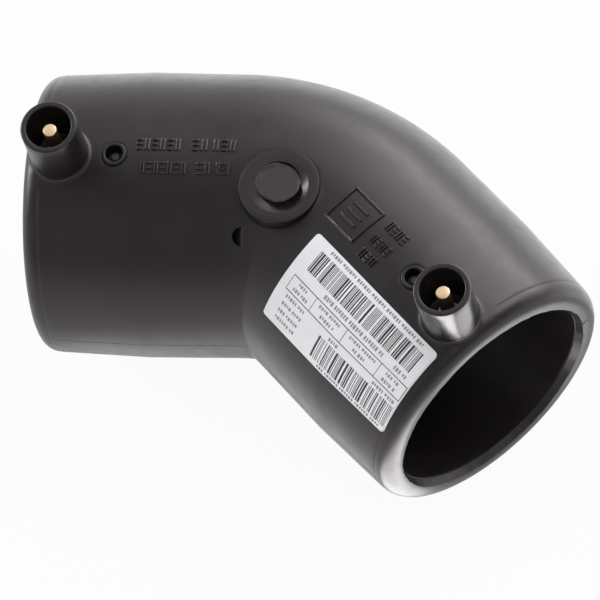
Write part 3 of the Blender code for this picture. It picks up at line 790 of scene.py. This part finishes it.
def notch_tool(side, turn, length, width):
    """A small wedge that nicks a mouth's inner edge where the mould's halves meet."""
    inner = BORE_RADIUS + CHAMFER_WIDTH
    root = (inner - 3 * MICRO, width / 2)
    tip = (inner + length, NOTCH_TIP * width)
    rows = []
    for depth, share in NOTCH_ENDS:
        row = []
        for (radius, half), sign in ((root, -1), (root, 1), (tip, 1), (tip, -1)):
            across = radians(turn) + sign * half * share / radius
            row.append(bore_point(side, depth, across, radius))
        rows.append(row)
    tool = add_block("notch_tool", *rows)
    tool.location = CROSSING
    return tool


def cut(item, tool):
    """Cuts tool out of item and removes it."""
    step = item.modifiers.new("cut", "BOOLEAN")
    step.operation = "DIFFERENCE"
    step.solver = "EXACT"
    step.object = tool
    bpy.context.view_layer.update()
    mesh = bpy.data.meshes.new_from_object(item.evaluated_get(bpy.context.evaluated_depsgraph_get()))
    item.modifiers.clear()
    old = item.data
    mesh.name = old.name
    item.data = mesh
    bpy.data.meshes.remove(old)
    bpy.data.objects.remove(tool, do_unlink=True)
    mesh.shade_smooth()
    mesh.set_sharp_from_angle(angle=BODY_SHARP)


def make_body():
    shape = Shape()
    rings, edges = skin_rings(shape)
    for detail, side, edge in edges:
        if detail == "gate":
            centre, detail_rings = GATE_CENTRE, gate_rings()
        elif detail == "terminal":
            centre, detail_rings = plan_point(side, TERMINAL_AT), shroud_rings()
        else:
            centre, detail_rings = plan_point(side, WELL_AT), well_rings()
        shape.patch(edge, centre, detail_rings, SETTLE_STEPS[detail])
    bore_rings(shape, rings[0], rings[-1])
    body = shape.finish("moulded_body", BODY_SHARP)
    cut(body, nick_tool())
    for notch in NOTCHES:
        cut(body, notch_tool(*notch))
    return body


def polish_shroud(body, index):
    """Gives the right shroud's wall, which is smoother than the rest, the material at index."""
    for face in body.data.polygons:
        aside = face.center - plan_point(1, TERMINAL_AT)
        if abs(hypot(aside.x, aside.y) - SHROUD_RADIUS) < MICRO and face.center.z > END_RADIUS - MICRO:
            face.material_index = index


def make_winding():
    """The heating wire under the bore's skin, one curve from the left terminal to the right one."""
    half = [(TERMINAL_AT, 0.0, WINDING_RADIUS + rise) for rise in (WIRE_LEAD, WIRE_LEAD / 2)]
    end = TERMINAL_AT + WINDING_TURNS * WINDING_PITCH
    for share in steps(0, 1, WINDING_STEPS):
        half.append((mix(TERMINAL_AT, end, share), tau * WINDING_TURNS * share, WINDING_RADIUS))
    for share in steps(0, 1, WIRE_LINK_STEPS)[1:]:
        half.append((mix(end, MIDDLE_AT, share), pi, WINDING_RADIUS))
    places = [bore_point(*place) for place in both_halves(half)]
    curve = bpy.data.curves.new("heating_wire_turns", "CURVE")
    curve.dimensions = "3D"
    curve.bevel_depth = WIRE_RADIUS
    curve.bevel_resolution = 1
    curve.use_fill_caps = True
    line = curve.splines.new("POLY")
    line.points.add(len(places) - 1)
    for point, place in zip(line.points, places):
        point.co = (*place, 1.0)
    item = add_item("heating_wire_turns", curve)
    item.location = CROSSING
    return item


def turned(name, centre, profile, sides):
    """A closed round piece from its profile of radius and height, tip first."""
    shape = Shape()
    last = None
    for radius, height in profile:
        points = []
        for step in range(sides):
            angle = tau * step / sides
            points.append((centre.x + radius * cos(angle), centre.y + radius * sin(angle), height))
        if last:
            last = shape.follow(last, points)
        else:
            last = shape.ring(points)
            shape.fan(last, shape.form.verts.new((centre.x, centre.y, height)))
    shape.fan(last, shape.form.verts.new((centre.x, centre.y, profile[-1][1])))
    return shape.finish(name, TURNED_SHARP)


def tip_rings(radius, tip, rings):
    return [(radius - inset * MICRO, tip - drop * MICRO) for inset, drop in rings]


def collar_rings(radius, collar_radius, top, seat, end_radius, end):
    """Rings from the foot of a pin's neck, round its collar and down to its end."""
    edge = COLLAR_EDGE
    rings = [(radius + edge, top), (collar_radius - edge, top), (collar_radius, top - edge)]
    rings += [(collar_radius, seat + edge), (collar_radius - edge, seat)]
    return rings + [(end_radius, seat), (end_radius, end)]


def make_pin(side, word):
    low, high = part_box(f"terminal_pin_{word}")
    tip = high.z - CROSSING.z
    end = low.z - CROSSING.z
    seat = skin_radius(TERMINAL_AT) + SHROUD_FLOOR_HEIGHT + SEAT_GAP
    collar = seat + PIN_COLLAR_HEIGHT
    profile = tip_rings(PIN_RADIUS, tip, PIN_TIP)
    profile += [(PIN_RADIUS, mix(tip, collar, 0.5)), (PIN_RADIUS, collar + 2 * COLLAR_EDGE)]
    profile += collar_rings(PIN_RADIUS, PIN_COLLAR_RADIUS, collar, seat, PIN_ROOT_RADIUS, end)
    return turned(f"contact_pin_{word}", plan_point(side, TERMINAL_AT), profile, PIN_SIDES)


def make_indicator(side, word):
    low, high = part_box(f"fusion_indicator_{word}")
    end = low.z - CROSSING.z
    seat = WELL_BOTTOM + SEAT_GAP
    collar = seat + TIP_COLLAR_HEIGHT
    radius = INDICATOR_RADIUS
    profile = tip_rings(radius, high.z - CROSSING.z, INDICATOR_TIP) + [(radius, collar + COLLAR_EDGE)]
    profile += collar_rings(radius, TIP_COLLAR_RADIUS, collar, seat, radius, end)
    return turned(f"indicator_tip_{word}", plan_point(side, WELL_AT), profile, INDICATOR_SIDES)


def grid_rim(grid):
    """The vertices round a grid's edge."""
    rim = list(grid[0]) + [row[-1] for row in grid[1:]]
    return rim + list(reversed(grid[-1][:-1])) + [row[0] for row in reversed(grid[1:-1])]


def bevelled(ends, bevel, count):
    """Steps between two ends that are drawn in by a bevel, and the same with the ends let out again."""
    bevel = copysign(bevel, ends[1] - ends[0])
    inner = steps(ends[0] + bevel, ends[1] - bevel, count)
    return inner, [inner[0] - bevel, *inner[1:-1], inner[-1] + bevel]


def slab(shape, side, faces, turns, top, bevel, counts):
    """A closed low block that follows the skin: faces and turns are its ends, top is its lift."""
    faces, outer_faces = bevelled(faces, bevel, counts[0])
    turns, outer_turns = bevelled(turns, bevel / CROWN_RADIUS, counts[1])
    rims = []
    for lift in (top, -MARK_SINK):
        grid = [shape.ring([skin_point(side, face, turn, lift) for turn in turns]) for face in faces]
        for row, later in zip(grid, grid[1:]):
            for step in range(counts[1]):
                shape.form.faces.new((row[step], row[step + 1], later[step + 1], later[step]))
        rims.append(grid_rim(grid))
    wide = grid_rim([[(face, turn) for turn in outer_turns] for face in outer_faces])
    middle = shape.ring([skin_point(side, face, turn, top - bevel) for face, turn in wide])
    shape.bridge(rims[0], middle)
    shape.bridge(middle, rims[1])


def mark(shape, side, from_centre, aside):
    """A raised block between two places from the centre and two aside, in millimetres."""
    faces = [CENTRE_AT - value / 1000 for value in from_centre]
    turns = [value / 1000 / CROWN_RADIUS for value in aside]
    counts = (1, max(1, round(abs(aside[1] - aside[0]))))
    slab(shape, side, faces, turns, MARK_HEIGHT, MARK_BEVEL, counts)


def mark_word(shape, side, ends, cells, aside):
    """A row of plain raised bars: two upright, then three lying, and so on."""
    pitch = (ends[1] - ends[0]) / cells
    width = pitch * MARK_CELL_FILL
    for cell in range(cells):
        start = ends[0] + pitch * (cell + (1 - MARK_CELL_FILL) / 2)
        if cell % 2 == 0:
            mark(shape, side, (start, start + MARK_STROKE), aside)
            mark(shape, side, (start + width - MARK_STROKE, start + width), aside)
        else:
            for place in steps(aside[0], aside[1] - MARK_STROKE, 2):
                mark(shape, side, (start, start + width), (place, place + MARK_STROKE))


def make_marks():
    """The polished marks, and the parting lines with the second material."""
    shape = Shape()
    for side, aside, words in WORD_ROWS:
        for ends, cells in words:
            mark_word(shape, side, ends, cells, aside)
    for from_centre, aside in PLATE_BARS:
        mark(shape, 1, from_centre, aside)
    polished = len(shape.form.faces)
    half = PARTING_WIDTH / 2 / CROWN_RADIUS
    ends = (PARTING_START, MIDDLE_AT)
    for side in (-1, 1):
        for turn in (-pi / 2, pi / 2):
            turns = (turn - half, turn + half)
            slab(shape, side, ends, turns, PARTING_HEIGHT, PARTING_WIDTH / 4, (PARTING_STEPS, 1))
    shape.form.faces.ensure_lookup_table()
    for face in shape.form.faces[polished:]:
        face.material_index = 1
    return shape.finish("moulded_marks", MARK_SHARP)


def picked(choices, reach, wave):
    """One of the choices, picked by a wave."""
    return choices[int(reach * abs(wave)) % len(choices)]


def bar_strip(ends, turns, seed):
    """Plain bars of uneven width across a strip, which spell nothing."""
    bars = []
    place = ends[0]
    count = 0
    while place < ends[1] - BAR_MODULE:
        width = BAR_MODULE * picked(BAR_WIDTHS, 997, sin(2.3 * count + seed))
        gap = BAR_MODULE * picked(BAR_GAPS, 991, cos(1.7 * count + seed))
        bars.append(((place, min(place + width, ends[1])), turns, "black"))
        place += width + gap
        count += 1
    return bars


def cell_row(turn, tall, first, last, seed):
    """A row of plain cells in groups, which spell nothing."""
    cells = []
    place = first
    count = 0
    while place < last - CELL_LEAST:
        width = CELL_WIDTH * (1 + CELL_GROWTH * ((count * 5 + seed) % 3))
        low = turn - tall / 2 * (1 if (count * 3 + seed) % 4 else CELL_LOW_SHARE)
        cells.append(((place, min(place + width, last)), (low, turn + tall / 2), "grey"))
        place += width + CELL_GAP
        if (count + seed) % CELLS_A_WORD == CELLS_A_WORD - 1:
            place += CELL_WIDTH
        count += 1
    return cells


def label_print():
    """What is printed, each with its ends, its turns and its ink."""
    fields = []
    for strip in BAR_STRIPS:
        fields += bar_strip(*strip)
    for turn, tall, groups in CELL_ROWS:
        for group in groups:
            fields += cell_row(turn, tall, *group)
    left, right, low, high = TABLE
    for turn in (low, high):
        fields.append(((left, right), (turn - TABLE_LINE, turn + TABLE_LINE), "black"))
    for place in (left, *TABLE_DIVIDERS, right):
        fields.append(((place - TABLE_LINE / 2, place + TABLE_LINE / 2), (low, high), "black"))
    return fields


def label_half_width(inset):
    """Half width of the film at a distance from its end, less at the round corners."""
    if inset >= LABEL_CORNER:
        return LABEL_WIDTH / 2
    return LABEL_WIDTH / 2 - LABEL_CORNER + sqrt(max(LABEL_CORNER ** 2 - (LABEL_CORNER - inset) ** 2, 0))


def filled(values, step, first, last):
    """The values from first to last, with more where they lie further apart than step."""
    values = sorted(set(round(value, 5) for value in values))
    full = [values[0]]
    for value in values[1:]:
        if value - full[-1] < LEAST_STEP:
            continue
        count = max(1, ceil((value - full[-1]) / step))
        full += steps(full[-1], value, count)[1:]
    return [value for value in full if first - TINY <= value <= last + TINY]


def print_faces(shape, grid, lengths, turns, fields):
    """One side of the film, each face in the ink of the field that its middle lies in."""
    for row, later, length in zip(grid, grid[1:], middles(lengths)):
        live = [field for field in fields if field[0][0] < length < field[0][1]]
        for column, turn in enumerate(middles(turns)):
            corners = (row[column], row[column + 1], later[column + 1], later[column])
            face = shape.form.faces.new(corners)
            inks = [ink for _, (low, high), ink in live if low < turn < high]
            if inks:
                face.material_index = INKS[inks[0]]


def make_label():
    """The film with its print as faces of other materials, laid on the skin."""
    mean = skin_radius((LABEL_AT + LABEL_END) / 2)
    top_turn = -asin((SHROUD_RADIUS + LABEL_TO_SHROUD) / mean)
    middle = degrees(top_turn - LABEL_WIDTH / 2 / mean)
    half = degrees(LABEL_WIDTH / 2 / mean)
    squeeze = degrees(2 * LABEL_CORNER / mean)
    limit = half - squeeze
    near = (CENTRE_AT - LABEL_AT) * 1000
    far = (CENTRE_AT - LABEL_END) * 1000
    corner = LABEL_CORNER * 1000
    fields = label_print()
    lengths = [value for ends, _, _ in fields for value in ends]
    lengths += [near, far, (CENTRE_AT - SWELL_AT) * 1000]
    for share in LABEL_CORNER_SHARES:
        lengths += [near - corner * share, far + corner * share]
    lengths = filled(lengths, LABEL_LENGTH_STEP, far, near)
    turns = [value for _, pair, _ in fields for value in pair] + [middle - half, middle + half]
    turns = filled(turns, LABEL_TURN_STEP, middle - half, middle + half)

    def point(length, turn, lift):
        """A point of the film, drawn in where the corners are round."""
        offset = turn - middle
        if abs(offset) > limit:
            reach = degrees(label_half_width(min(near - length, length - far) / 1000) / mean)
            offset = copysign(mix(limit, reach, (abs(offset) - limit) / squeeze), offset)
        return skin_point(1, CENTRE_AT - length / 1000, radians(middle + offset), lift)

    shape = Shape()
    rims = []
    for lift, printed in ((LABEL_LIFT + LABEL_THICKNESS, fields), (LABEL_LIFT, [])):
        grid = [shape.ring([point(length, turn, lift) for turn in turns]) for length in lengths]
        print_faces(shape, grid, lengths, turns, printed)
        rims.append(grid_rim(grid))
    shape.bridge(*rims)
    return shape.finish("data_label_film", LABEL_SHARP)


class Paint:
    """A node material in the making."""

    def __init__(self, name):
        self.material = bpy.data.materials.new(name)
        self.material.use_nodes = True
        self.nodes = self.material.node_tree.nodes
        self.links = self.material.node_tree.links
        self.shader = self.nodes["Principled BSDF"]
        self.place = self.nodes.new("ShaderNodeTexCoord").outputs["Object"]

    def value(self, name, amount):
        self.shader.inputs[name].default_value = amount

    def feed(self, name, output):
        self.links.new(output, self.shader.inputs[name])

    def noise(self, scale, detail=3.0, roughness=0.5, vector=None):
        node = self.nodes.new("ShaderNodeTexNoise")
        node.inputs["Scale"].default_value = scale
        node.inputs["Detail"].default_value = detail
        node.inputs["Roughness"].default_value = roughness
        self.links.new(vector or self.place, node.inputs["Vector"])
        return node.outputs["Fac"]

    def colour(self, noise, colours):
        node = self.nodes.new("ShaderNodeValToRGB")
        for element, place, colour in zip(node.color_ramp.elements, NOISE_SPAN, colours):
            element.position = place
            element.color = (*colour, 1.0)
        self.links.new(noise, node.inputs["Fac"])
        self.feed("Base Color", node.outputs["Color"])

    def roughness(self, noise, limits):
        node = self.nodes.new("ShaderNodeMapRange")
        for name, amount in zip(("From Min", "From Max", "To Min", "To Max"), (*NOISE_SPAN, *limits)):
            node.inputs[name].default_value = amount
        self.links.new(noise, node.inputs["Value"])
        self.feed("Roughness", node.outputs["Result"])

    def relief(self, *layers):
        """Bumps on top of each other, each with its noise, height and strength."""
        below = None
        for noise, distance, strength in layers:
            node = self.nodes.new("ShaderNodeBump")
            node.inputs["Distance"].default_value = distance
            node.inputs["Strength"].default_value = strength
            self.links.new(noise, node.inputs["Height"])
            if below:
                self.links.new(below, node.inputs["Normal"])
            below = node.outputs["Normal"]
        self.feed("Normal", below)


def polyethylene(name, colours, roughness, specular=0.5):
    paint = Paint(name)
    paint.colour(paint.noise(60, 4, 0.55), colours)
    paint.roughness(paint.noise(220, 5, 0.6), roughness)
    paint.relief((paint.noise(45, 2, 0.5), 0.00012, 0.5), (paint.noise(2600, 3, 0.6), 0.00001, 0.6))
    paint.value("IOR", 1.54)
    paint.value("Specular Tint", (1.0, 0.93, 0.96, 1.0))
    paint.value("Specular IOR Level", specular)
    return paint.material


def brass():
    paint = Paint("turned_brass")
    mapping = paint.nodes.new("ShaderNodeMapping")
    mapping.inputs["Scale"].default_value = (0.05, 0.05, 6.0)
    paint.links.new(paint.place, mapping.inputs["Vector"])
    turning_marks = paint.noise(900, vector=mapping.outputs["Vector"])
    paint.colour(paint.noise(500), BRASS)
    paint.roughness(turning_marks, BRASS_ROUGHNESS)
    paint.relief((turning_marks, 0.00001, 0.5))
    paint.value("Metallic", 1.0)
    return paint.material


def coat(name, colours, roughness, scales, relief):
    """A plain coat: scales are those of its colours, its gloss and its relief."""
    paint = Paint(name)
    paint.colour(paint.noise(scales[0]), colours)
    paint.roughness(paint.noise(scales[1]), roughness)
    paint.relief((paint.noise(*scales[2:]), *relief))
    return paint.material


def math_node(tree, operation, *sources):
    """The output of a Math node whose inputs are numbers or other nodes' outputs."""
    node = tree.nodes.new("ShaderNodeMath")
    node.operation = operation
    for socket, source in zip(node.inputs, sources):
        if isinstance(source, (int, float)):
            socket.default_value = source
        else:
            tree.links.new(source, socket)
    return node.outputs[0]


def white_floor():
    """White to the camera and in reflections, with a share that takes the object's shadow."""
    material = bpy.data.materials.new("floor_white")
    material.use_nodes = True
    tree = material.node_tree
    tree.nodes.clear()
    out = tree.nodes.new("ShaderNodeOutputMaterial")
    matt = tree.nodes.new("ShaderNodeBsdfDiffuse")
    matt.inputs["Color"].default_value = (FLOOR_GREY, FLOOR_GREY, FLOOR_GREY, 1)
    glow = tree.nodes.new("ShaderNodeEmission")
    glow.inputs["Strength"].default_value = 1.0
    seen = tree.nodes.new("ShaderNodeLightPath").outputs
    white = math_node(tree, "MAXIMUM", seen["Is Camera Ray"], seen["Is Glossy Ray"])
    white = math_node(tree, "MAXIMUM", white, seen["Is Transmission Ray"])
    blend = tree.nodes.new("ShaderNodeMixShader")
    tree.links.new(math_node(tree, "MULTIPLY", white, FLOOR_GLOW), blend.inputs["Fac"])
    tree.links.new(matt.outputs[0], blend.inputs[1])
    tree.links.new(glow.outputs[0], blend.inputs[2])
    tree.links.new(blend.outputs[0], out.inputs["Surface"])
    return material


def add_floor():
    form = bmesh.new()
    bmesh.ops.create_circle(form, cap_ends=True, segments=FLOOR_SIDES, radius=FLOOR_RADIUS)
    floor = add_form("floor", form)
    floor.data.materials.append(white_floor())


def backdrop_grey(tree, place):
    """The backdrop's grey, by height over the horizon."""
    split = tree.nodes.new("ShaderNodeSeparateXYZ")
    tree.links.new(place, split.inputs[0])
    ramp = tree.nodes.new("ShaderNodeValToRGB")
    elements = ramp.color_ramp.elements
    while len(elements) < len(BACKDROP):
        elements.new(0.5)
    for element, (height, grey) in zip(elements, BACKDROP):
        element.position = height
        element.color = (grey, grey, grey, 1)
    tree.links.new(split.outputs["Z"], ramp.inputs["Fac"])
    return ramp.outputs["Color"]


def set_world():
    """A white backdrop and soft boxes for light and gloss; to the camera it is all white."""
    world = bpy.data.worlds.new("studio")
    bpy.context.scene.world = world
    world.use_nodes = True
    tree = world.node_tree
    tree.nodes.clear()
    place = tree.nodes.new("ShaderNodeTexCoord").outputs["Generated"]
    seen = tree.nodes.new("ShaderNodeLightPath").outputs
    lit = math_node(tree, "MAXIMUM", seen["Is Glossy Ray"], seen["Is Transmission Ray"])
    lit = math_node(tree, "MAXIMUM", lit, BACKDROP_LIGHT)
    backdrop = math_node(tree, "MULTIPLY", backdrop_grey(tree, place), lit)
    backdrop = math_node(tree, "MAXIMUM", seen["Is Camera Ray"], backdrop)
    boxes = 0.0
    for azimuth, elevation, sharpness, strength in SOFT_BOXES:
        aim = tree.nodes.new("ShaderNodeVectorMath")
        aim.operation = "DOT_PRODUCT"
        aim.inputs[1].default_value = direction(radians(azimuth), radians(elevation))
        tree.links.new(place, aim.inputs[0])
        fall = math_node(tree, "MULTIPLY_ADD", aim.outputs["Value"], sharpness, -sharpness)
        boxes = math_node(tree, "MULTIPLY_ADD", math_node(tree, "EXPONENT", fall), strength, boxes)
    unseen = math_node(tree, "SUBTRACT", 1.0, seen["Is Camera Ray"])
    sky = tree.nodes.new("ShaderNodeBackground")
    tree.links.new(math_node(tree, "MULTIPLY_ADD", boxes, unseen, backdrop), sky.inputs["Strength"])
    out = tree.nodes.new("ShaderNodeOutputWorld")
    tree.links.new(sky.outputs[0], out.inputs["Surface"])


def add_card(name, place, length, width, power):
    """A bright card on the floor, which shows only as light and gloss on the object."""
    light = bpy.data.lights.new(name, "AREA")
    light.shape = "ELLIPSE"
    light.size = length
    light.size_y = width
    light.energy = power
    item = add_item(name, light)
    item.location = place
    item.rotation_euler = (pi, 0, 0)
    item.visible_camera = False


def add_camera():
    camera = bpy.data.cameras.new("camera")
    camera.lens = CAMERA_LENS
    camera.sensor_width = CAMERA_SENSOR
    item = add_item("camera", camera)
    azimuth, elevation, roll = (radians(angle) for angle in CAMERA_TURN)
    back = direction(azimuth, elevation)
    level_right = (-back).cross(Vector((0, 0, 1))).normalized()
    level_up = level_right.cross(-back)
    right = level_right * cos(roll) + level_up * sin(roll)
    turn = Matrix((right, back.cross(right), back)).transposed().to_4x4()
    item.matrix_world = Matrix.Translation(Vector(CAMERA_TARGET) + back * CAMERA_DISTANCE) @ turn
    bpy.context.scene.camera = item


def dress(piece, materials, slot, *nodes):
    """Gives a piece its materials, hangs it from the root body and hides the nodes it stands for. The slot is
    not used.
    """
    for material in materials:
        piece.data.materials.append(material)
    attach(piece, "root")
    if nodes:
        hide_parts(*nodes)


def main():
    add_camera()
    add_floor()
    set_world()
    for card in FLOOR_CARDS:
        add_card(*card)
    bpy.context.scene.view_settings.view_transform = "Standard"
    black = polyethylene("black_polyethylene", BLACK, BLACK_ROUGHNESS)
    shiny = polyethylene("polished_polyethylene", BLACK, POLISHED_ROUGHNESS, POLISHED_SPECULAR)
    body = make_body()
    dress(body, (black, shiny), "body", "elbow_body")
    polish_shroud(body, 1)
    dress(make_marks(), (shiny, black), "body")
    gold = brass()
    grey = polyethylene("indicator_polyethylene", INDICATOR_GREY, INDICATOR_ROUGHNESS)
    for side, word in ((-1, "left"), (1, "right")):
        dress(make_pin(side, word), (gold,), "contact_pin", f"terminal_pin_{word}")
        dress(make_indicator(side, word), (grey,), "indicator", f"fusion_indicator_{word}")
    dress(make_label(), [coat(*finish, *FILM_GRAIN) for finish in LABEL_FINISHES], "label", "data_label")
    dress(make_winding(), (coat(*SHEATH, *SHEATH_GRAIN),), "wire", "heating_wire")


main()
